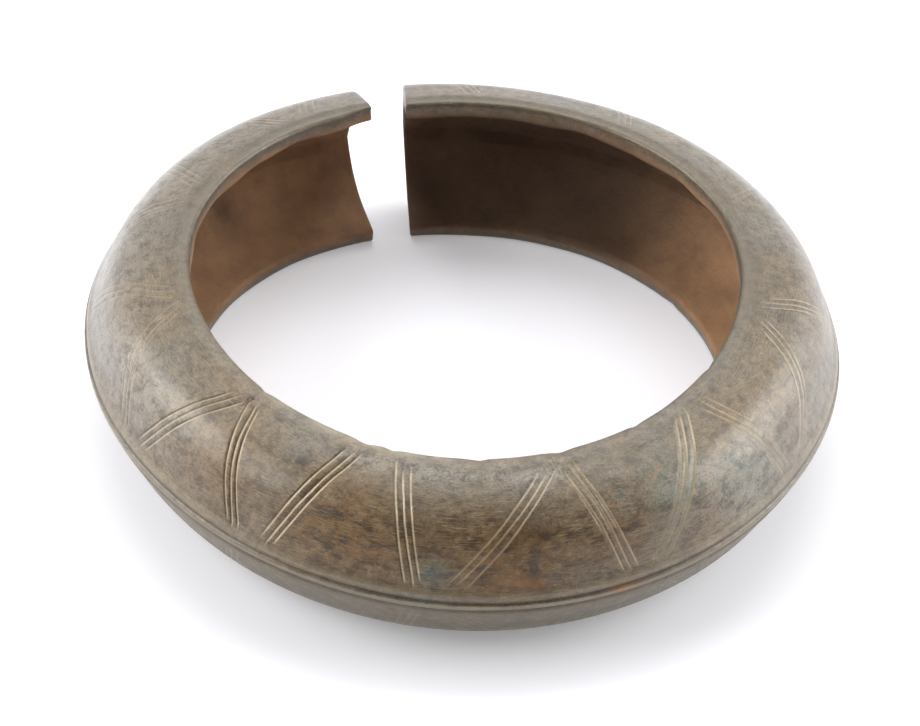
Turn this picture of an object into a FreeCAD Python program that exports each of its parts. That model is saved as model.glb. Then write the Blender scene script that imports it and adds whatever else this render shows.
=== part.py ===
import FreeCAD, Part
import math
import os

# African currency manilla: one cast copper-alloy bangle, open at the back.
# Its wall is a thin gutter that is hollow towards the wrist. Millimetres, +Z up,
# origin on the ground under the ring's centre, gap towards +Y.

# Driving dimensions of the ring
crest_radius = 45.0          # centre to the crest that runs round the outside at mid-height
lip_radius = 32.4            # wrist opening, measured at the two lips
band_height = 21.0           # from the lower lip's land to the upper one's
wall = 2.5                   # thickness of the cast wall

# Shape of the outer face, the same above and below the crest
flank_angle = 24.0           # degrees that the flank leans in from upright
crown_angle = 15.5           # degrees that the crown rises towards the lip
shoulder_radius = 7.5        # round between flank and crown
crest_flat = 0.6             # worn flat along the top of the crest

# The hollow, whose corner behind the shoulder is filled out by one flat
hollow_radius = 8.9          # round that this flat stands for
round_share = 0.9            # the most that either round takes of the shorter side beside it

# Lips
land_width = 1.7             # flat worn land that the ring stands on
lip_bevel = 0.5              # worn edges of the lip, towards the wrist

# Gap and the two end faces
gap_width = 4.9              # between the ends, at the lips and at mid-height
plain_end_lean = 4.3         # degrees that the end on -X leans away from +Y
skewed_end_lean = 12.4       # degrees that the end on +X leans away from +Y
skewed_end_tilt = 3.0        # degrees that the end on +X closes in towards the top
end_bevel = 0.3              # worn edges of both end faces

# Two lines chased along the crest, which leave a raised cord between them
cord_width = 1.7             # between the middles of the two lines
line_width = 0.65
line_depth = 0.35


def direction(degrees):
    """A unit direction in the section plane, measured up from the outward radius."""
    angle = math.radians(degrees)
    return FreeCAD.Vector(math.cos(angle), 0, math.sin(angle))


def at(radius, height):
    """A point of the section, in the XZ plane."""
    return FreeCAD.Vector(radius, 0, height)


def crossing(p, p_way, q, q_way):
    """Where two lines of the section meet, each given by a point and a direction."""
    across = p_way.x * q_way.z - p_way.z * q_way.x
    step = ((q.x - p.x) * q_way.z - (q.z - p.z) * q_way.x) / across
    return p + p_way * step


def trimmed(before, corner, after, kind, size):
    """A corner's start and end points, with the middle of its arc if it is round."""
    way_in = (before - corner).normalize()
    way_out = (after - corner).normalize()
    if kind == "sharp":
        return corner, None, corner
    if kind == "bevel":
        return corner + way_in * size, None, corner + way_out * size
    half = way_in.getAngle(way_out) / 2
    back = size / math.tan(half)
    centre = corner + (way_in + way_out).normalize() * (size / math.sin(half))
    middle = centre + (corner - centre).normalize() * size
    return corner + way_in * back, middle, corner + way_out * back


def section_wire(corners):
    """Closed wire through corners of (point, kind, size)."""
    stops = []
    for i, (corner, kind, size) in enumerate(corners):
        before = corners[i - 1][0]
        after = corners[(i + 1) % len(corners)][0]
        stops.append(trimmed(before, corner, after, kind, size))
    edges = []
    for i, (start, middle, end) in enumerate(stops):
        following = stops[(i + 1) % len(stops)][0]
        if middle is not None:
            edges.append(Part.Arc(start, middle, end).toShape())
        elif start != end:
            edges.append(Part.LineSegment(start, end).toShape())
        edges.append(Part.LineSegment(end, following).toShape())
    return Part.Wire(edges)


def upper_corners():
    """Corners of the section from the crest over the upper lip to the root at mid-height."""
    flank_way = direction(90 + flank_angle)
    crown_way = direction(180 - crown_angle)
    inwards_from_flank = direction(180 + flank_angle)
    inwards_from_crown = direction(270 - crown_angle)

    crest = at(crest_radius, (band_height + crest_flat) / 2)
    land_edge = at(lip_radius + land_width, band_height)
    shoulder = crossing(crest, flank_way, land_edge, crown_way)

    flank_inside = crest + inwards_from_flank * wall
    crown_inside = land_edge + inwards_from_crown * wall
    root = crossing(flank_inside, flank_way, at(0, band_height / 2), direction(0))
    shoulder_inside = crossing(flank_inside, flank_way, crown_inside, crown_way)
    lip_inside = crossing(crown_inside, crown_way, at(lip_radius, 0), direction(90))
    round_slope = math.tan(math.radians(90 - flank_angle - crown_angle) / 2)
    side_outside = min(shoulder.distanceToPoint(crest), shoulder.distanceToPoint(land_edge))
    side_inside = min(shoulder_inside.distanceToPoint(root), shoulder_inside.distanceToPoint(lip_inside))
    round_outside = min(shoulder_radius, round_share * side_outside / round_slope)
    bevel_inside = min(hollow_radius * round_slope, round_share * side_inside)

    return [
        (crest, "sharp", 0),
        (shoulder, "round", round_outside),
        (land_edge, "sharp", 0),
        (at(lip_radius, band_height), "bevel", lip_bevel),
        (lip_inside, "bevel", lip_bevel),
        (shoulder_inside, "bevel", bevel_inside),
        (root, "sharp", 0),
    ]


def section_corners():
    """Corners of the whole section: the upper half and its mirror image below."""
    upper = upper_corners()
    lower = []
    for corner, kind, size in reversed(upper[:-1]):
        lower.append((at(corner.x, band_height - corner.z), kind, size))
    return upper + lower


def drawn_in(corners, depth):
    """The same section with every side moved into the metal by a depth."""
    moved = []
    for i, (corner, kind, size) in enumerate(corners):
        way_in = (corner - corners[i - 1][0]).normalize()
        way_out = (corners[(i + 1) % len(corners)][0] - corner).normalize()
        side_in = corner + FreeCAD.Vector(-way_in.z, 0, way_in.x) * depth
        side_out = corner + FreeCAD.Vector(-way_out.z, 0, way_out.x) * depth
        shrink = depth if way_in.x * way_out.z > way_in.z * way_out.x else -depth
        half_turn = way_in.getAngle(way_out) / 2
        if kind == "round":
            size -= shrink
        if kind == "bevel":
            size -= shrink * (1 / math.cos(half_turn) - 1) / math.sin(half_turn)
        moved.append((crossing(side_in, way_in, side_out, way_out), kind, size))
    return moved


def turned(corners):
    """Ring that a section makes when it turns once about +Z."""
    face = Part.Face(section_wire(corners))
    return face.revolve(FreeCAD.Vector(0, 0, 0), FreeCAD.Vector(0, 0, 1), 360)


def open_side(side, lean, tilt, set_back):
    """Block that fills everything on the gap's side of one end face, and set_back more."""
    reach = 4 * crest_radius
    block = Part.makeBox(reach, 2 * reach, 2 * reach)
    block.translate(FreeCAD.Vector(-reach if side > 0 else 0, -reach, -reach))
    block.translate(FreeCAD.Vector(side * set_back, 0, 0))
    block.rotate(FreeCAD.Vector(0, 0, 0), FreeCAD.Vector(0, 1, 0), -side * tilt)
    block.rotate(FreeCAD.Vector(0, 0, 0), FreeCAD.Vector(0, 0, 1), -side * lean)
    block.translate(FreeCAD.Vector(side * gap_width / 2, lip_radius, band_height / 2))
    return block


def gap(set_back):
    """Wedge between the two end faces, which widens outwards."""
    plain_side = open_side(-1, plain_end_lean, 0, set_back)
    skewed_side = open_side(1, skewed_end_lean, skewed_end_tilt, set_back)
    return plain_side.common(skewed_side)


def end_outlines(ring):
    """Outlines of the two flat end faces of a ring that has its gap, from -X to +X."""
    ends = []
    for face in ring.Faces:
        if isinstance(face.Surface, Part.Plane) and abs(face.normalAt(0, 0).z) < 0.5:
            ends.append(face)
    ends.sort(key=lambda face: face.CenterOfMass.x)
    return [face.OuterWire for face in ends]


def worn_ring():
    """The plain ring with its gap, its end faces bevelled all round by end_bevel."""
    corners = section_corners()
    body = turned(corners).cut(gap(end_bevel))
    narrower = turned(drawn_in(corners, end_bevel)).cut(gap(0))
    tips = []
    for base, face in zip(end_outlines(body), end_outlines(narrower)):
        tips.append(Part.makeLoft([base, face], True, True))
    return body.fuse(tips)


def crest_line(side):
    """Ring of V section that cuts one line beside the crest, above or below it."""
    outwards = direction(side * flank_angle)
    along = direction(90 + side * flank_angle)
    flank_start = at(crest_radius, (band_height + side * crest_flat) / 2)
    middle = crossing(flank_start, along, at(0, (band_height + side * cord_width) / 2), direction(0))
    root = middle - outwards * line_depth
    mouth = middle + outwards * line_depth
    v_section = Part.makePolygon([root, mouth + along * line_width, mouth - along * line_width, root])
    return Part.Face(v_section).revolve(FreeCAD.Vector(0, 0, 0), FreeCAD.Vector(0, 0, 1), 360)


def cast_ring():
    """The whole manilla, cast and then chased."""
    return worn_ring().cut([crest_line(-1), crest_line(1)])


def save(node, shape):
    """Checks that a node is one sound solid and writes it."""
    solid = shape.Solids[0]
    if len(shape.Solids) != 1 or not solid.isValid():
        raise ValueError(node + " is not one sound solid")
    solid.exportStep("parts/" + node + ".step")
    print(node, "volume mm3", round(solid.Volume, 1))


os.makedirs("parts", exist_ok=True)
save("cast_ring", cast_ring())
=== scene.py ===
import bpy
import math
import numpy as np
from mathutils import Matrix, Vector


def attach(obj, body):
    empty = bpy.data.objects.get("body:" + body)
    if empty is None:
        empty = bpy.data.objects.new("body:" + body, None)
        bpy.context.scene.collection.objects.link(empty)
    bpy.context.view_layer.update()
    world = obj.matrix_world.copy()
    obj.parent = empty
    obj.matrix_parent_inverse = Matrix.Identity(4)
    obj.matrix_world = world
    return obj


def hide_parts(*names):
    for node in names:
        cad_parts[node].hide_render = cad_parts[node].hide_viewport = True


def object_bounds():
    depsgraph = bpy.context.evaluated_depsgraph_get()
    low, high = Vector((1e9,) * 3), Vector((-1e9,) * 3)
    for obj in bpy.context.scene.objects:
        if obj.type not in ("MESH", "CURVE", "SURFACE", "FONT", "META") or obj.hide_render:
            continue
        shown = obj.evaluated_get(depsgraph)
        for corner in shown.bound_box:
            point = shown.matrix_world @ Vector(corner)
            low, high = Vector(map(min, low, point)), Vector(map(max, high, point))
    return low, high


# African currency manilla, one bronze casting, seen as in the photograph.
# Positions are metres in the CAD frame. Sizes below are millimetres, angles are degrees.
# Round the ring, 0 is +X, -90 is the front and 90 is the middle of the gap.
# Across the skin, arc is the distance from the crest: positive over the top, negative below.

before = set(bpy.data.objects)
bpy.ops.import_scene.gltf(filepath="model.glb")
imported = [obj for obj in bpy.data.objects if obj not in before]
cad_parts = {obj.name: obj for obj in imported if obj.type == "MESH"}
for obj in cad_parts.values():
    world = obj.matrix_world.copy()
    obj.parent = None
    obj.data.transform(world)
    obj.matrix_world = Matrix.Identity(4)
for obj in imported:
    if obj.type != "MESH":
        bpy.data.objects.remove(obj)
cad_low, cad_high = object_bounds()

MM = 0.001

# The photograph's frame and camera
IMAGE_WIDTH = 920
FOCAL_PIXELS = 3062
RING_SHIFT_PIXELS = (3.15, 29.3)     # how far the lens axis lies from the frame's middle
EYE_DISTANCE = 360
EYE_AZIMUTH = -18.6
EYE_ELEVATION = 39.8
EYE_ROLL = -3.26
SENSOR_WIDTH = 36

# The casting's section, as in the part
MIDDLE = cad_high.z / MM / 2
CREST_RADIUS = 45.0
LIP_RADIUS = 32.4
WALL = 2.5
FLANK_ANGLE = 24.0
CROWN_ANGLE = 15.5
CREST_FLAT = 0.6
LAND_WIDTH = 1.7

# The gap and its two end faces, a little tighter and more tilted than the part's
GAP_WIDTH = 4.5
PLAIN_END_LEAN = 4.3
PLAIN_END_TILT = -1.5
SKEWED_END_LEAN = 12.4
SKEWED_END_TILT = 3.5
END_BEVEL = 0.3
BEVEL_STEPS = (0, 30, 60, 90)        # degrees round the edge of an end

# Rounds that wear has left on the section's corners
CREST_ROUND = 0.5
SHOULDER_ROUND = 7.5
LAND_ROUND = 3.0
LIP_ROUND = 0.55
HOLLOW_ROUND = 8.9

# How far the ring, bent by hand, is from a true circle: its mean radius, then waves of two and of
# three round it, each by its cosine and sine, as shares of that radius. It stays within the part's
# width, and its crest runs a little below mid-height.
CREST_WAVES = (44.4, -0.0037, -0.0059, 0.0096, 0.009)
LIP_WAVES = (32.04, -0.0068, 0.0062, 0.0103, 0.0136)
CREST_DROP = 0.6
BOX_ROOM = 0.01                      # left between the ring's widest spot and the part's box

# Lines cut along the crest, as arc, half width and depth, and the soft rib above them
CREST_LINES = [(0.62, 0.24, 0.26), (-0.68, 0.40, 0.42)]
RIB_EDGE_ARC = 1.65
RIB_FOOT_ARCS = (2.2, 4.5)
RIB_STEP = 0.14

# Bands of three chased lines, from near the rim to near the crest: angle at the rim, angle at the
# crest and how strongly they are cut. The first five and the last seven lie out of sight or out of
# focus in the photograph and carry the zigzag on.
BANDS = [
    (-252.6, -261.6, 0.25), (-246.6, -237.6, 0.25), (-220.6, -231.6, 0.25), (-214.6, -205.6, 0.25),
    (-185.5, -197.7, 0.35), (-181.0, -169.4, 0.5), (-152.0, -163.9, 0.8), (-149.1, -142.1, 1.0),
    (-127.0, -136.0, 1.0), (-118.0, -113.6, 0.9), (-92.1, -107.9, 0.7), (-89.0, -82.4, 1.0),
    (-63.5, -77.5, 0.9), (-57.6, -49.7, 0.7), (-29.5, -44.5, 0.5), (-24.8, -16.2, 0.35),
    (1.4, -8.6, 0.25), (7.4, 17.4, 0.25), (33.4, 23.4, 0.25), (39.4, 49.4, 0.25),
    (65.4, 55.4, 0.25), (71.4, 78.4, 0.25),
]
BAND_CREST_ARC = 2.1
BAND_RIM_ARC = 15.6
BAND_HALF_WIDTH = 1.25
LOWER_BANDS = 0.25                   # how much of their strength the bands keep below the crest

# One chased line: its size, how far it wanders, and its profile, which has painted shade on one side and a
# pale tone with painted light on the other: place across it in half widths, share of the depth, pale share
# and dark share
LINE_SPACING = 0.84
LINE_HALF_WIDTH = 0.21
LINE_DEPTH = 0.13
LINE_DRIFT = 0.14
LINE_WANDER = 0.05
LINE_PROFILE = [(-1, 0, 0, 0), (-0.6, 0.6, 0, 0.8), (-0.25, 1, 0.3, 0.4),
                (0.15, 0.6, 1, 0), (0.7, 0.1, 0.9, 0), (1.1, 0, 0, 0)]

# Nicks in the lips: angle, width and depth
NICKS = [
    (-126.0, 1.6, 0.30), (-120.5, 1.0, 0.22), (-104.5, 1.2, 0.25), (-88.9, 1.5, 0.25), (-72.0, 0.9, 0.2),
    (-150.0, 1.0, 0.2), (-48.0, 1.2, 0.2), (20.0, 1.1, 0.2), (-200.0, 1.3, 0.2),
]

# The tip of the upper lip at the plain end, worn back: depth, length along the ring, arc past the
# lip's edge, width, and the share of that depth by which the worn metal also rises
WORN_TIP = (0.8, 2.6, 1.1, 1.5, 0.2)

# Patches in the skin: angle, arc, half length along the ring, half width across it, strength
PATCHES = {
    "ochre": [(-124, 6.0, 9, 4.5, 1.0), (-100, 5.5, 9, 4.5, 1.0), (-84, 6.5, 6, 4.5, 0.8),
              (-145, 6.0, 6, 4, 0.6), (-68, 4.0, 5, 2.5, 0.5)],
    "verdigris": [(-111, 3.4, 1.9, 1.4, 1.0), (-93.9, 3.0, 0.6, 0.5, 1.0), (-72, 9.2, 5, 4, 0.6),
                  (-60, 6.0, 5, 4, 0.5), (-82.0, 9.6, 0.8, 1.6, 0.7), (-112, 0.4, 5, 0.9, 0.6)],
    "stain": [(-96.8, 4.1, 0.85, 1.9, 1.0), (-134.8, 12.0, 1.6, 1.0, 0.9), (-104.0, 3.4, 0.8, 0.6, 0.7),
              (-116.5, 8.6, 0.5, 2.4, 0.6), (-239, -29.6, 2.2, 2.2, 0.9)],
    "copper": [(-83.8, 0.2, 2.2, 0.7, 0.7), (-98.0, 2.7, 3.0, 0.8, 0.5)],
    # painted sheen: silvery grey where the lamps reflect, under the front rim, at the sides and at the back
    "painted_sheen": [(-113, 15.0, 15, 1.2, 1.0), (-94, 14.6, 6, 1.2, 1.0), (-222, 7.0, 30, 6.5, 1.2),
               (-178, 6.0, 16, 5.0, 0.8), (-60, 5.5, 8, 4.0, 0.9), (-40, 4.0, 9, 3.5, 0.4),
               (22, 8.0, 22, 6.5, 0.8)],
}

# Mesh density: columns between two bands, and steps between rows on the skin, the lip and the inside
PANEL_COLUMNS = 12
SKIN_STEP = 0.55
LIP_STEP = 0.32
INSIDE_STEP = 1.2


# The section

def unit(degrees):
    """A unit direction in the section plane, measured up from the outward radius."""
    return np.array([math.cos(math.radians(degrees)), math.sin(math.radians(degrees))])


def crossing(p, p_way, q, q_way):
    """Where two lines of the section meet, each given by a point and a direction."""
    steps = np.linalg.solve(np.column_stack([p_way, -q_way]), q - p)
    return p + p_way * steps[0]


def half_section_corners():
    """Corners of the upper half section, from the crest over the lip to the root, with their rounds."""
    crest = np.array([CREST_RADIUS, CREST_FLAT / 2])
    land_edge = np.array([LIP_RADIUS + LAND_WIDTH, MIDDLE])
    flank_way, crown_way = unit(90 + FLANK_ANGLE), unit(180 - CROWN_ANGLE)
    flank_inside = crest + unit(180 + FLANK_ANGLE) * WALL
    crown_inside = land_edge + unit(270 - CROWN_ANGLE) * WALL
    level, upright = unit(0), unit(90)
    return [
        (np.array([CREST_RADIUS, 0.0]), 0),
        (crest, CREST_ROUND),
        (crossing(crest, flank_way, land_edge, crown_way), SHOULDER_ROUND),
        (land_edge, LAND_ROUND),
        (np.array([LIP_RADIUS, MIDDLE]), LIP_ROUND),
        (crossing(crown_inside, crown_way, np.array([LIP_RADIUS, 0.0]), upright), LIP_ROUND),
        (crossing(flank_inside, flank_way, crown_inside, crown_way), HOLLOW_ROUND),
        (crossing(flank_inside, flank_way, np.array([0.0, 0.0]), level), 0),
    ]


def rounded_line(corners, step=0.02):
    """A dense line through corners, each rounded by its own radius."""
    points = [corners[0][0]]
    for (before, _), (corner, radius), (after, _) in zip(corners, corners[1:], corners[2:]):
        way_in = (before - corner) / np.linalg.norm(before - corner)
        way_out = (after - corner) / np.linalg.norm(after - corner)
        half = math.acos(np.clip(way_in @ way_out, -1, 1)) / 2
        back = radius / math.tan(half)
        middle = corner + (way_in + way_out) / np.linalg.norm(way_in + way_out) * radius / math.sin(half)
        start, stop = corner + way_in * back - middle, corner + way_out * back - middle
        turn = math.pi - 2 * half
        for share in np.linspace(0, 1, max(2, int(radius * turn / step))):
            ray = start * math.sin((1 - share) * turn) + stop * math.sin(share * turn)
            points.append(middle + ray / math.sin(turn))
    points.append(corners[-1][0])
    return np.array(points)


class Section:
    """The upper half of the section as radius and height above mid-height, looked up by arc."""

    def __init__(self):
        line = rounded_line(half_section_corners())
        lengths = np.linalg.norm(np.diff(line, axis=0), axis=1)
        keep = np.concatenate([[True], lengths > 1e-9])
        self.line = line[keep]
        steps = np.linalg.norm(np.diff(self.line, axis=0), axis=1)
        self.arcs = np.concatenate([[0], np.cumsum(steps)])
        self.length = self.arcs[-1]
        ways = np.gradient(self.line, self.arcs, axis=0)
        self.normals = np.column_stack([ways[:, 1], -ways[:, 0]])
        at_lip = np.argmax(self.line[:, 1] + (LIP_RADIUS - self.line[:, 0]))
        self.lip_arc = self.arcs[at_lip]

    def look_up(self, arc, values):
        """One value of the outline at each signed arc."""
        return np.interp(np.abs(arc), self.arcs, values)

    def place(self, arc):
        """Radius, height, outward radius part and outward height part at each signed arc."""
        side = np.sign(arc)
        radius = self.look_up(arc, self.line[:, 0])
        height = self.look_up(arc, self.line[:, 1]) * side
        radius_way = self.look_up(arc, self.normals[:, 0])
        height_way = self.look_up(arc, self.normals[:, 1]) * side
        return radius, height, radius_way, height_way


# Soft steps and gentle unevenness

def smooth(low, high, value):
    """0 below low, 1 above high, with a soft step between."""
    share = np.clip((value - low) / (high - low), 0, 1)
    return share * share * (3 - 2 * share)


def bell(value, middle, half_width):
    """1 at the middle, falling off softly on both sides."""
    return np.exp(-((value - middle) / half_width) ** 2)


def ripple(angle, arc, seed, size, count=7):
    """Waves that add up to between about -1 and 1, the shortest of them about size millimetres long."""
    pick = np.random.default_rng(seed)
    total = np.zeros(np.broadcast(angle, arc).shape)
    around = np.radians(angle) * CREST_RADIUS
    for _ in range(count):
        length = size * pick.uniform(1, 3)
        way = pick.uniform(0, 2 * math.pi)
        onwards = around * math.cos(way) + arc * math.sin(way)
        total += np.sin(onwards * 2 * math.pi / length + pick.uniform(0, 6.28))
    return total / count * 1.5


def bent_radius(angle, waves):
    """Radius at each angle of a circle of the ring after bending, kept inside the part's box."""
    turn = np.radians(angle)
    wave = waves[1] * np.cos(2 * turn) + waves[2] * np.sin(2 * turn)
    wave = wave + waves[3] * np.cos(3 * turn) + waves[4] * np.sin(3 * turn)
    room = CREST_RADIUS / np.maximum(np.abs(np.cos(turn)), np.abs(np.sin(turn))) - BOX_ROOM
    return np.minimum(waves[0] * (1 + wave), room)


# Columns of the skin: angle, depth of cut, pale and dark share, and how far an end's edge is drawn in

def line_columns(index, line, strength, centre, slant, share, arc, radius, pick):
    """The columns that follow one chased line of a band."""
    none = 0 * arc
    start = BAND_CREST_ARC + pick.uniform(-0.3, 0.6)
    stop = BAND_RIM_ARC + pick.uniform(-1.0, 0.6)
    rim_drift = pick.uniform(-LINE_DRIFT, LINE_DRIFT)
    crest_drift = pick.uniform(-LINE_DRIFT, LINE_DRIFT)
    offset = line * LINE_SPACING + rim_drift * share + crest_drift * (1 - share)
    offset = offset + LINE_WANDER * ripple(none, arc, 300 + index * 3 + line, 3)
    high = np.abs(arc)
    cut = strength * smooth(start - 0.3, start + 0.7, high) * (1 - smooth(stop - 1.2, stop + 0.3, high))
    cut = cut * (0.85 + 0.2 * ripple(none, arc, 400 + index * 3 + line, 2)) * pick.uniform(0.8, 1.1)
    columns = []
    for across, deep, pale, dark in LINE_PROFILE:
        angle = centre + np.degrees((offset + across * LINE_HALF_WIDTH) * slant / radius)
        columns.append((angle, cut * deep * LINE_DEPTH, cut * pale, cut * dark, 0))
    return columns


def band_columns(index, band, arc, radius):
    """The columns that follow one band's three lines, with a plain one on each side."""
    rim_angle, crest_angle, strength = band
    pick = np.random.default_rng(100 + index)
    strength = strength * np.where(arc > 0, 1, LOWER_BANDS)
    share = np.clip((np.abs(arc) - BAND_CREST_ARC) / (BAND_RIM_ARC - BAND_CREST_ARC), 0, 1)
    centre = crest_angle + (rim_angle - crest_angle) * share
    slope = math.radians(rim_angle - crest_angle) / (BAND_RIM_ARC - BAND_CREST_ARC)
    slant = np.where((share > 0) & (share < 1), np.sqrt(1 + (radius * slope) ** 2), 1)
    none = 0 * arc
    half_width = np.degrees(BAND_HALF_WIDTH * slant / radius)
    columns = [(centre - half_width, none, none, none, 0)]
    for line in (-1, 0, 1):
        columns += line_columns(index, line, strength, centre, slant, share, arc, radius, pick)
    columns.append((centre + half_width, none, none, none, 0))
    return columns


def end_plane_angle(side, lean, tilt, radius, height, set_back):
    """Angle at which points of a radius and height lie on an end face, or set back from it."""
    tilt, lean = math.radians(-side * tilt), math.radians(-side * lean)
    normal = np.array([math.cos(tilt), 0, -math.sin(tilt)])
    normal = np.array([normal[0] * math.cos(lean), normal[0] * math.sin(lean), normal[2]])
    point = np.array([side * GAP_WIDTH / 2, LIP_RADIUS, 0])
    level = point @ normal + side * set_back - normal[2] * height
    flat = math.hypot(normal[0], normal[1])
    heading = math.atan2(normal[1], normal[0])
    swing = np.arccos(np.clip(level / (flat * radius), -1, 1))
    return np.degrees(heading + swing)


def end_columns(side, lean, tilt, section, arc):
    """Columns that round one end's edge, from the skin to the end face."""
    columns = []
    turn = -360 if side < 0 else 0
    for degrees in BEVEL_STEPS:
        inset = END_BEVEL * (1 - math.cos(math.radians(degrees)))
        set_back = END_BEVEL * (1 - math.sin(math.radians(degrees)))
        radius, height, radius_way, height_way = section.place(arc)
        radius, height = radius - inset * radius_way, height - inset * height_way
        angle = end_plane_angle(side, lean, tilt, radius, height, set_back) + turn
        columns.append((angle, 0 * arc, 0 * arc, 0 * arc, inset))
    return columns


def skin_columns(section, rows):
    """All columns from end to end, each kind of value as an array of rows by columns."""
    first_end = end_columns(-1, PLAIN_END_LEAN, PLAIN_END_TILT, section, rows)
    last_end = end_columns(1, SKEWED_END_LEAN, SKEWED_END_TILT, section, rows)
    radius = section.place(rows)[0]
    none = 0 * rows
    columns = first_end[::-1]
    for index, band in enumerate(BANDS + [None]):
        stops = band_columns(index, band, rows, radius) if band else last_end
        before = columns[-1][0]
        for share in np.linspace(0, 1, PANEL_COLUMNS + 2)[1:-1]:
            columns.append((before + (stops[0][0] - before) * share, none, none, none, 0))
        columns += stops
    angle, cut, pale, dark = [np.array([column[i] for column in columns]).T for i in range(4)]
    inset = np.array([column[4] for column in columns])
    return angle, cut, pale, dark, inset


def row_arcs(section):
    """Signed arcs of the rows, from the lower root outside over the crest to the upper root."""
    line = CREST_LINES[0][0] + CREST_LINES[0][1] * np.array([-1.2, -0.6, 0, 0.6, 1.2])
    rib = RIB_EDGE_ARC + np.array([-0.45, -0.15, 0.1, 0.4])
    lip_start, lip_stop = section.lip_arc - 2.2, section.lip_arc + 4.0
    skin = np.arange(rib[-1] + 0.35, lip_start, SKIN_STEP)
    lip = np.arange(lip_start, lip_stop, LIP_STEP)
    inside = np.linspace(lip_stop, section.length, int((section.length - lip_stop) / INSIDE_STEP))
    half = np.concatenate([[0.2], line, rib, skin, lip, inside])
    return np.concatenate([-half[::-1][1:], [0], half])


# Wear, painted shade and painted light on the skin

def patch_field(kind, angle, arc):
    """How much each spot of the skin belongs to one kind of patch."""
    field = np.zeros(np.broadcast(angle, arc).shape)
    for patch_angle, patch_arc, along, across, strength in PATCHES[kind]:
        away = np.radians(angle - patch_angle) * CREST_RADIUS
        field = np.maximum(field, strength * bell(away, 0, along) * bell(arc, patch_arc, across))
    return field


def crest_lines(angle, arc):
    """Depth of the two lines cut along the crest, and how dark they are."""
    cut, dark = 0 * angle, 0 * angle
    for seed, (line_arc, half_width, deep) in enumerate(CREST_LINES):
        across = (arc - line_arc - LINE_WANDER * ripple(angle, 0, 12 + seed, 20)) / half_width
        share = np.clip(1 - np.abs(across) ** 1.3, 0, 1)
        share = share * (0.8 + 0.2 * ripple(angle, 0 * arc, 31 + seed, 14))
        cut = np.maximum(cut, share * deep)
        dark = np.maximum(dark, share)
    return cut, dark


def uneven_depth(angle, arc, outside):
    """Depth of the rib's edge, the shallow hollows, the crest's dips and the rough inside."""
    high = np.abs(arc)
    rib = RIB_STEP * smooth(RIB_EDGE_ARC - 0.2, RIB_EDGE_ARC + 0.25, arc) * (1 - smooth(*RIB_FOOT_ARCS, arc))
    hollow = 0.09 * (1 + ripple(angle, arc, 21, 18)) * smooth(2.0, 5.0, high) * outside
    crest_dip = 0.05 * (1 + ripple(angle, arc, 22, 12)) * (1 - smooth(0.5, 2.5, high))
    inside = 0.3 * ripple(angle, arc, 23, 9) * (1 - outside)
    return rib + np.clip(hollow, 0, 1) + np.clip(crest_dip, 0, 1) + inside


def worn_lips(angle, arc, radius, height, section):
    """Radius and height after the lips are worn, nicked and, at the plain end's tip, worn back."""
    lip = bell(np.abs(arc), section.lip_arc, 1.1)
    worn = 0.08 + 0.05 * ripple(angle, arc * 0, 24, 7)
    for nick_angle, width, deep in NICKS:
        away = np.radians(angle - nick_angle) * LIP_RADIUS
        worn = worn + deep * bell(away, 0, width / math.sqrt(2))
    deep, length, past_lip, width, rise = WORN_TIP
    from_end = np.radians(angle - angle[:, :1]) * LIP_RADIUS
    tip = deep * bell(from_end, 0, length) * bell(arc, section.lip_arc + past_lip, width)
    radius = radius + lip * worn * 0.7 + tip
    height = height - np.sign(arc) * (lip * np.clip(worn, 0, 1) * 0.5 - rise * tip)
    return np.minimum(radius, CREST_RADIUS), np.clip(height, -MIDDLE, MIDDLE)


def bent_ring(angle, radius, height):
    """Radius and height after the ring is bent out of round and its crest has dropped."""
    outwards = (radius - LIP_RADIUS) / (CREST_RADIUS - LIP_RADIUS)
    radius = outwards * bent_radius(angle, CREST_WAVES) + (1 - outwards) * bent_radius(angle, LIP_WAVES)
    return radius, height - CREST_DROP * (1 - np.abs(height) / MIDDLE)


def wear_values(angle, arc, pale, dark, outside, lip_arc):
    """Each kind of wear, painted shade and painted light, as a share at every vertex, for the material to
    read.
    """
    high = np.abs(arc)
    # the cord's and the rib's tops: rubbed, and lightened as a painted highlight
    ridges = bell(high, 0.05, 0.25) + 0.8 * bell(arc, 1.25, 0.3) + 0.7 * bell(arc, RIB_EDGE_ARC, 0.12)
    values = {
        # painted shade beside each chased line, and the darkened crest lines
        "dark": np.clip(dark, 0, 1),
        # painted shade on the inner wall's right side, back towards the gap
        "shade": (1 - outside) * smooth(15, 45, angle) * (1 - 0.4 * smooth(80, 88, angle)),
        # pale sandy tone with painted light on the lit side of each chased line
        "pale": np.clip(pale, 0, 1),
        "inside": 1 - outside + 0 * angle,
        # rubbed rim, with a painted highlight along the front rim
        "rim": bell(high, lip_arc - 0.3, 0.8) * (0.15 + bell(angle, -122, 28)),
        "soil": bell(high, lip_arc - 0.6, 1.8) * smooth(20, 110, np.abs(angle + 115)),
        "rubbed_and_lit_ribs": np.clip(ridges, 0, 1) + 0 * angle,
        "low": smooth(0.3, -0.8, arc) * outside + 0 * angle,
    }
    for kind in PATCHES:
        values[kind] = patch_field(kind, angle, arc)
    return values


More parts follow.
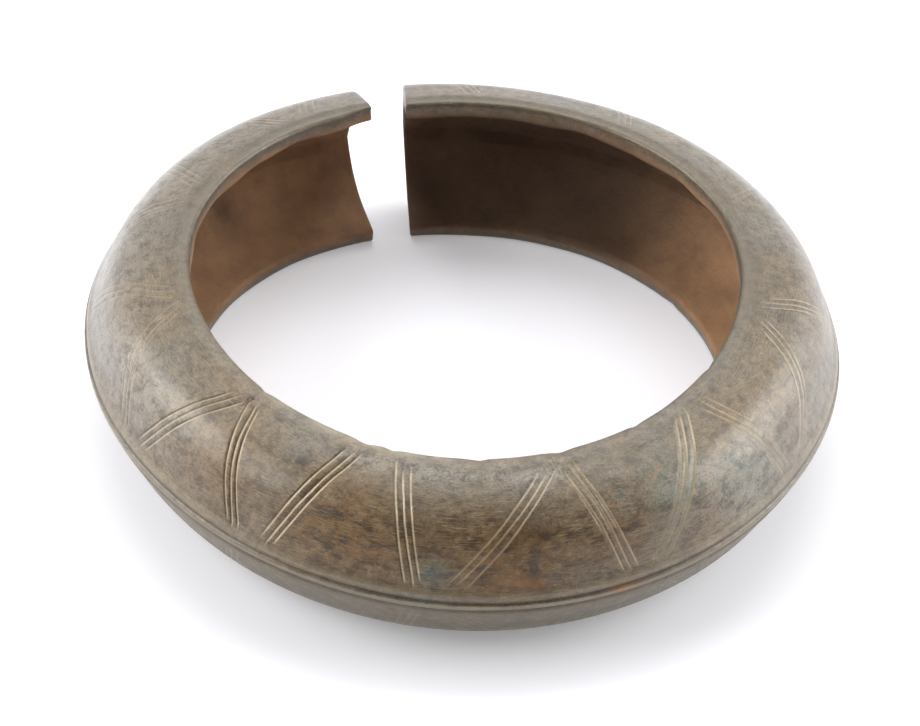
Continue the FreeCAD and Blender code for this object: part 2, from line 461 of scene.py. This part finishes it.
def casting_skin():
    """Vertices, and the values of wear, painted shade and painted light, of the whole casting, row by row
    from end to end.
    """
    section = Section()
    rows = row_arcs(section)
    arc = rows[:, None]
    angle, cut, pale, dark, inset = skin_columns(section, rows)
    outside = 1 - smooth(section.lip_arc + 0.5, section.lip_arc + 2.0, np.abs(arc))
    line_cut, line_dark = crest_lines(angle, arc)
    depth = cut + line_cut + uneven_depth(angle, arc, outside) + inset

    radius, height, radius_way, height_way = section.place(arc)
    radius = radius - depth * radius_way
    height = height - depth * height_way
    radius, height = worn_lips(angle, arc, radius, height, section)
    radius, height = bent_ring(angle, radius, height)

    turn = np.radians(angle)
    spots = np.stack([radius * np.cos(turn), radius * np.sin(turn), height + MIDDLE], axis=-1)
    values = wear_values(angle, arc, pale, dark + line_dark, outside, section.lip_arc)
    around = np.stack([turn * CREST_RADIUS, arc + 0 * turn, 0 * turn], axis=-1)
    return spots, values, around


def make_casting():
    """The casting as one closed mesh with its wear, painted shade and painted light kept as attributes."""
    spots, values, around = casting_skin()
    rows, columns = spots.shape[:2]
    index = np.arange(rows * columns).reshape(rows, columns)
    following = np.roll(index, -1, axis=0)
    quads = np.stack([index[:, :-1], index[:, 1:], following[:, 1:], following[:, :-1]], axis=-1)
    quads = quads.reshape(-1, 4).tolist()
    faces = quads + [index[::-1, 0].tolist(), index[:, -1].tolist()]

    mesh = bpy.data.meshes.new("manilla_casting")
    mesh.from_pydata((spots.reshape(-1, 3) * MM).tolist(), [], faces)
    mesh.polygons.foreach_set("use_smooth", [True] * len(quads) + [False, False])
    for name, value in values.items():
        layer = mesh.attributes.new(name, "FLOAT", "POINT")
        layer.data.foreach_set("value", value.astype(np.float32).ravel())
    layer = mesh.attributes.new("around", "FLOAT_VECTOR", "POINT")
    layer.data.foreach_set("vector", around.astype(np.float32).ravel())
    mesh.update()
    piece = bpy.data.objects.new("manilla_casting", mesh)
    bpy.context.collection.objects.link(piece)
    return piece


# Materials

# Noise all over the casting: size in millimetres, detail and roughness
UNEVENNESS = {
    "clouds": (12, 4, 0.6),
    "drift": (4.5, 4, 0.65),
    "mottle": (1.2, 5, 0.8),
    "grain": (0.25, 3, 0.7),
}

# Noise drawn out along the skin: angle to the ring's run, length, width, detail and roughness. The
# strokes are left by filing and handling, and each shows in spots of its own size. The real ones are
# hair-fine, and these are as coarse as they need to be to show.
STREAKS = (16, 3.2, 1.5, 5, 0.75)
STROKES = [(4, 3.2, 0.14, 2, 0.6), (-22, 2.4, 0.12, 2, 0.6), (33, 2.0, 0.12, 2, 0.6),
           (-58, 1.6, 0.13, 2, 0.6), (80, 1.5, 0.12, 2, 0.6)]
STROKE_SPOTS = [5.4, 7.2, 8.3, 10.8, 13.0]

# Layers over a base colour, from the lowest up: colour, the wear or field that it belongs to, the
# field that breaks it up, that field's range, and how much of the layer shows at each end of it
SKIN = "726046"
SKIN_LAYERS = [
    ("696153", "even", "clouds", 0.4, 0.6, 0, 1),            # greyer clouds
    ("7d5314", "ochre", "streaks", 0.36, 0.54, 0.4, 1),      # golden where the metal is rubbed
    ("9d978c", "painted_sheen", "drift", 0.35, 0.6, 0.5, 0.9),      # painted sheen, silvery grey by the rim and at the sides
    ("61796c", "verdigris", "mottle", 0.4, 0.54, 0, 1),      # green spots of verdigris
    ("352616", "dark_streaks", "ochre", 0, 1, 0.4, 0.95),    # dark streaks, strongest in the golden skin
    ("3a2d1e", "even", "mottle", 0.51, 0.62, 0, 0.65),       # dark mottle
    ("a08d6c", "even", "mottle", 0.46, 0.36, 0, 0.3),        # pale mottle
    ("33281b", "even", "grain", 0.5, 0.66, 0, 0.5),          # pores of the casting
    ("a8956f", "strokes", "even", 0, 1, 0, 0.45),            # fine pale strokes
    ("28231e", "stain", "mottle", 0.36, 0.5, 0, 1),          # black stains
    ("4d4330", "soil", "drift", 0.35, 0.6, 0.35, 0.8),       # old dirt beside the lips
    ("6f6450", "low", "even", 0, 1, 0, 0.6),                 # dull skin below the crest
    ("938770", "rubbed_and_lit_ribs", "even", 0, 1, 0, 0.6),                # rubbed tops of the cord and the rib, with a painted highlight on them
    ("a06c38", "copper", "mottle", 0.38, 0.52, 0, 1),        # orange where the cord is worn bare
    ("aaa088", "rim", "drift", 0.4, 0.6, 0.15, 0.8),         # rubbed rim, with a painted highlight along it at the front
    ("2f251a", "dark", "even", 0, 1, 0, 0.7),                # painted shade on the shadowed side of a chased line, and darker crest lines
    ("c8b591", "pale", "grain", 0.3, 0.6, 1, 0.75),          # sandy tone with painted light on the bright side of a chased line
]
WALL_SKIN = "a37e5b"
WALL_LAYERS = [
    ("7d5c46", "even", "drift", 0.4, 0.65, 0, 0.6),          # redder clouds on the inner wall
    ("3a2c22", "stain", "even", 0, 1, 0, 0.8),               # black pits
    ("2c2118", "shade", "even", 0, 1, 0, 0.75),              # painted shade on the inner wall's deep right side
]

# Where the bronze is dulled: the wear, and the share of its shine that is left there
DULLED = [("inside", 0), ("ochre", 0.3), ("low", 0.35)]


def linear(hex_colour):
    """A linear RGBA colour from an sRGB hex value."""
    channels = []
    for start in (0, 2, 4):
        value = int(hex_colour[start:start + 2], 16) / 255
        channels.append(value / 12.92 if value <= 0.04045 else ((value + 0.055) / 1.055) ** 2.4)
    return (*channels, 1)


def add(tree, kind, settings, inputs):
    """Adds one node; each input is a value or the socket that feeds it."""
    made = tree.nodes.new("ShaderNode" + kind)
    for name, value in settings.items():
        setattr(made, name, value)
    for name, value in inputs.items():
        if isinstance(value, bpy.types.NodeSocket):
            tree.links.new(value, made.inputs[name])
        else:
            made.inputs[name].default_value = value
    return made


def empty_tree(material):
    """The material's node tree, with nothing in it."""
    material.use_nodes = True
    material.node_tree.nodes.clear()
    return material.node_tree


def drawn_out(tree, marks):
    """Noise drawn out along the skin, one socket for each kind of mark."""
    around = add(tree, "Attribute", {"attribute_name": "around"}, {}).outputs["Vector"]
    sockets = []
    for turn, length, width, detail, roughness in marks:
        laid = add(tree, "Mapping", {}, {"Vector": around, "Rotation": (0, 0, math.radians(turn)),
                                         "Scale": (1 / length, 1 / width, 1)})
        noise = add(tree, "TexNoise", {}, {"Vector": laid.outputs[0], "Scale": 1, "Detail": detail,
                                           "Roughness": roughness})
        sockets.append(noise.outputs["Fac"])
    return sockets


def all_strokes(tree, spot, marks):
    """All filing and handling strokes together, each kind kept to its own spots of the skin."""
    strokes = 0.0
    for size, mark in zip(STROKE_SPOTS, marks):
        where = add(tree, "TexNoise", {}, {"Vector": spot, "Scale": 1 / size, "Detail": 3, "Roughness": 0.6})
        clear = add(tree, "MapRange", {}, {0: mark, 1: 0.58, 2: 0.66, 3: 0, 4: 1})
        here = add(tree, "MapRange", {}, {0: where.outputs["Fac"], 1: 0.46, 2: 0.58, 3: 0, 4: 1})
        stroke = add(tree, "Math", {"operation": "MULTIPLY"}, {0: clear.outputs[0], 1: here.outputs[0]})
        strokes = add(tree, "Math", {"operation": "MAXIMUM"}, {0: strokes, 1: stroke.outputs[0]}).outputs[0]
    return strokes


def bronze_fields(tree):
    """Everything that the bronze is made from: the wear, painted shade and painted light kept on the mesh,
    noise and strokes.
    """
    place = add(tree, "TexCoord", {}, {}).outputs["Object"]
    spot = add(tree, "Mapping", {}, {"Vector": place, "Scale": (1 / MM, 1 / MM, 1 / MM)}).outputs[0]
    fields = {"even": 1.0}
    for name in [*PATCHES, "dark", "shade", "pale", "inside", "rim", "soil", "rubbed_and_lit_ribs", "low"]:
        fields[name] = add(tree, "Attribute", {"attribute_name": name}, {}).outputs["Fac"]
    for name, (size, detail, roughness) in UNEVENNESS.items():
        noise = add(tree, "TexNoise", {}, {"Vector": spot, "Scale": 1 / size, "Detail": detail,
                                           "Roughness": roughness})
        fields[name] = noise.outputs["Fac"]
    fields["streaks"], *marks = drawn_out(tree, [STREAKS] + STROKES)
    dark_streaks = add(tree, "MapRange", {}, {0: fields["streaks"], 1: 0.5, 2: 0.58, 3: 0, 4: 1})
    fields["dark_streaks"] = dark_streaks.outputs[0]
    fields["strokes"] = all_strokes(tree, spot, marks)
    return fields


def layered(tree, fields, base, layers):
    """The colour that a base has under its layers."""
    colour = linear(base)
    for hex_colour, wear, field, low, high, least, most in layers:
        part = add(tree, "MapRange", {}, {0: fields[field], 1: low, 2: high, 3: least, 4: most})
        share = add(tree, "Math", {"operation": "MULTIPLY"}, {0: fields[wear], 1: part.outputs[0]})
        mixed = add(tree, "Mix", {"data_type": "RGBA"},
                    {0: share.outputs[0], 6: colour, 7: linear(hex_colour)})
        colour = mixed.outputs[2]
    return colour


def aged_bronze():
    """Cast bronze, filed, handled and left to darken: a mottled brown skin crossed by fine pale strokes,
    with a soft sheen, a painted sheen where the lamps reflect, sandy chased lines with painted shade and
    light on their sides, black pits and painted shade in the hollow, and a few green and black spots."""
    material = bpy.data.materials.new("aged_cast_bronze")
    tree = empty_tree(material)
    fields = bronze_fields(tree)
    skin = layered(tree, fields, SKIN, SKIN_LAYERS)
    wall = layered(tree, fields, WALL_SKIN, WALL_LAYERS)
    colour = add(tree, "Mix", {"data_type": "RGBA"}, {0: fields["inside"], 6: skin, 7: wall}).outputs[2]

    heights = fields["grain"]
    for field, height in (("strokes", -0.5), ("mottle", 2.0)):
        heights = add(tree, "Math", {"operation": "MULTIPLY_ADD"},
                      {0: fields[field], 1: height, 2: heights}).outputs[0]
    bump = add(tree, "Bump", {}, {"Height": heights, "Distance": 0.07 * MM, "Strength": 1.0})

    bare = 1.0
    for wear, left in DULLED:
        shine = add(tree, "MapRange", {}, {0: fields[wear], 1: 0, 2: 1, 3: 1, 4: left})
        bare = add(tree, "Math", {"operation": "MULTIPLY"}, {0: bare, 1: shine.outputs[0]}).outputs[0]
    clean = add(tree, "MapRange", {}, {0: fields["verdigris"], 1: 0, 2: 0.8, 3: 0.6, 4: 0.2})
    metal = add(tree, "Math", {"operation": "MULTIPLY"}, {0: bare, 1: clean.outputs[0]})
    mottled = add(tree, "MapRange", {}, {0: fields["mottle"], 1: 0.35, 2: 0.65, 3: 0.34, 4: 0.5})
    rough = add(tree, "Math", {"operation": "MULTIPLY_ADD"},
                {0: fields["inside"], 1: 0.35, 2: mottled.outputs[0]})
    shader = add(tree, "BsdfPrincipled", {}, {
        "Base Color": colour, "Metallic": metal.outputs[0], "Roughness": rough.outputs[0],
        "Normal": bump.outputs[0], "Coat Weight": bare, "Coat Roughness": 0.36})
    add(tree, "OutputMaterial", {}, {"Surface": shader.outputs[0]})
    return material


def white_sweep():
    """Matt white studio paper: even white, with the ring's own soft shadow."""
    material = bpy.data.materials.new("white_sweep")
    tree = empty_tree(material)
    path = add(tree, "LightPath", {}, {}).outputs
    seen = add(tree, "Math", {"operation": "MAXIMUM"}, {0: path["Is Camera Ray"], 1: path["Is Glossy Ray"]})
    lift = add(tree, "Math", {"operation": "MULTIPLY"}, {0: seen.outputs[0], 1: 0.23})
    paper = add(tree, "BsdfDiffuse", {}, {"Color": linear("eeeef4")})
    glow = add(tree, "Emission", {}, {"Color": (1, 1, 1, 1), "Strength": lift.outputs[0]})
    both = add(tree, "AddShader", {}, {0: paper.outputs[0], 1: glow.outputs[0]})
    add(tree, "OutputMaterial", {}, {"Surface": both.outputs[0]})
    return material


# Studio

def make_table():
    """A large white table under the ring."""
    reach = 3.0
    mesh = bpy.data.meshes.new("studio_table")
    corners = [(-reach, -reach, 0), (reach, -reach, 0), (reach, reach, 0), (-reach, reach, 0)]
    mesh.from_pydata(corners, [], [(0, 1, 2, 3)])
    table = bpy.data.objects.new("studio_table", mesh)
    bpy.context.collection.objects.link(table)
    mesh.materials.append(white_sweep())


def camera_way(azimuth, elevation):
    """Unit vector from the ring towards a place round it."""
    a, e = math.radians(azimuth), math.radians(elevation)
    return Vector((math.sin(a) * math.cos(e), -math.cos(a) * math.cos(e), math.sin(e)))


def softbox(name, azimuth, elevation, distance, width, height, brightness):
    """A soft box that faces the ring; its brightness is what a mirror would show of it."""
    light = bpy.data.lights.new(name, "AREA")
    light.shape = "RECTANGLE"
    light.size, light.size_y = width, height
    light.energy = brightness * math.pi * width * height
    lamp = bpy.data.objects.new(name, light)
    way = camera_way(EYE_AZIMUTH + azimuth, elevation)
    lamp.location = Vector((0, 0, MIDDLE * MM)) + way * distance
    lamp.rotation_mode = "QUATERNION"
    lamp.rotation_quaternion = way.to_track_quat("Z", "Y")
    bpy.context.collection.objects.link(lamp)


def make_lights():
    """Boxes left, right and overhead behind the ring, and a white room that darkens to the front."""
    softbox("back_box", 180, 60, 0.8, 0.7, 0.5, 2.8)
    softbox("right_box", 102, 25, 0.6, 0.5, 0.4, 4.8)
    softbox("left_box", -86, 30, 0.6, 0.5, 0.4, 5.2)
    world = bpy.data.worlds.new("white_room")
    world.use_nodes = True
    tree = world.node_tree
    away = camera_way(EYE_AZIMUTH + 180, 0)
    look = add(tree, "TexCoord", {}, {}).outputs["Generated"]
    back = add(tree, "VectorMath", {"operation": "DOT_PRODUCT"}, {0: look, 1: away})
    strength = add(tree, "MapRange", {}, {0: back.outputs["Value"], 1: -0.6, 2: 0.8, 3: 0.15, 4: 0.9})
    background = tree.nodes["Background"]
    background.inputs["Color"].default_value = (1, 1, 1, 1)
    tree.links.new(strength.outputs[0], background.inputs["Strength"])
    bpy.context.scene.world = world


def make_camera():
    """The photograph's camera, fitted to the ring's rims, crest, ends and outline."""
    data = bpy.data.cameras.new("camera")
    data.sensor_width = SENSOR_WIDTH
    data.lens = FOCAL_PIXELS / IMAGE_WIDTH * SENSOR_WIDTH
    data.shift_x = -RING_SHIFT_PIXELS[0] / IMAGE_WIDTH
    data.shift_y = -RING_SHIFT_PIXELS[1] / IMAGE_WIDTH
    back = camera_way(EYE_AZIMUTH, EYE_ELEVATION)
    right = Vector((0, 0, 1)).cross(back).normalized()
    up = back.cross(right)
    cosine, sine = math.cos(math.radians(EYE_ROLL)), math.sin(math.radians(EYE_ROLL))
    axes = Matrix((right * cosine - up * sine, right * sine + up * cosine, back)).transposed()
    eye = Vector((0, 0, MIDDLE * MM)) + back * EYE_DISTANCE * MM
    camera = bpy.data.objects.new("camera", data)
    camera.matrix_world = Matrix.Translation(eye) @ axes.to_4x4()
    bpy.context.collection.objects.link(camera)
    bpy.context.scene.camera = camera


make_camera()
casting = make_casting()
casting.data.materials.append(aged_bronze())
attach(casting, "root")
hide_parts("cast_ring")
make_table()
make_lights()
bpy.context.scene.view_settings.view_transform = "Standard"
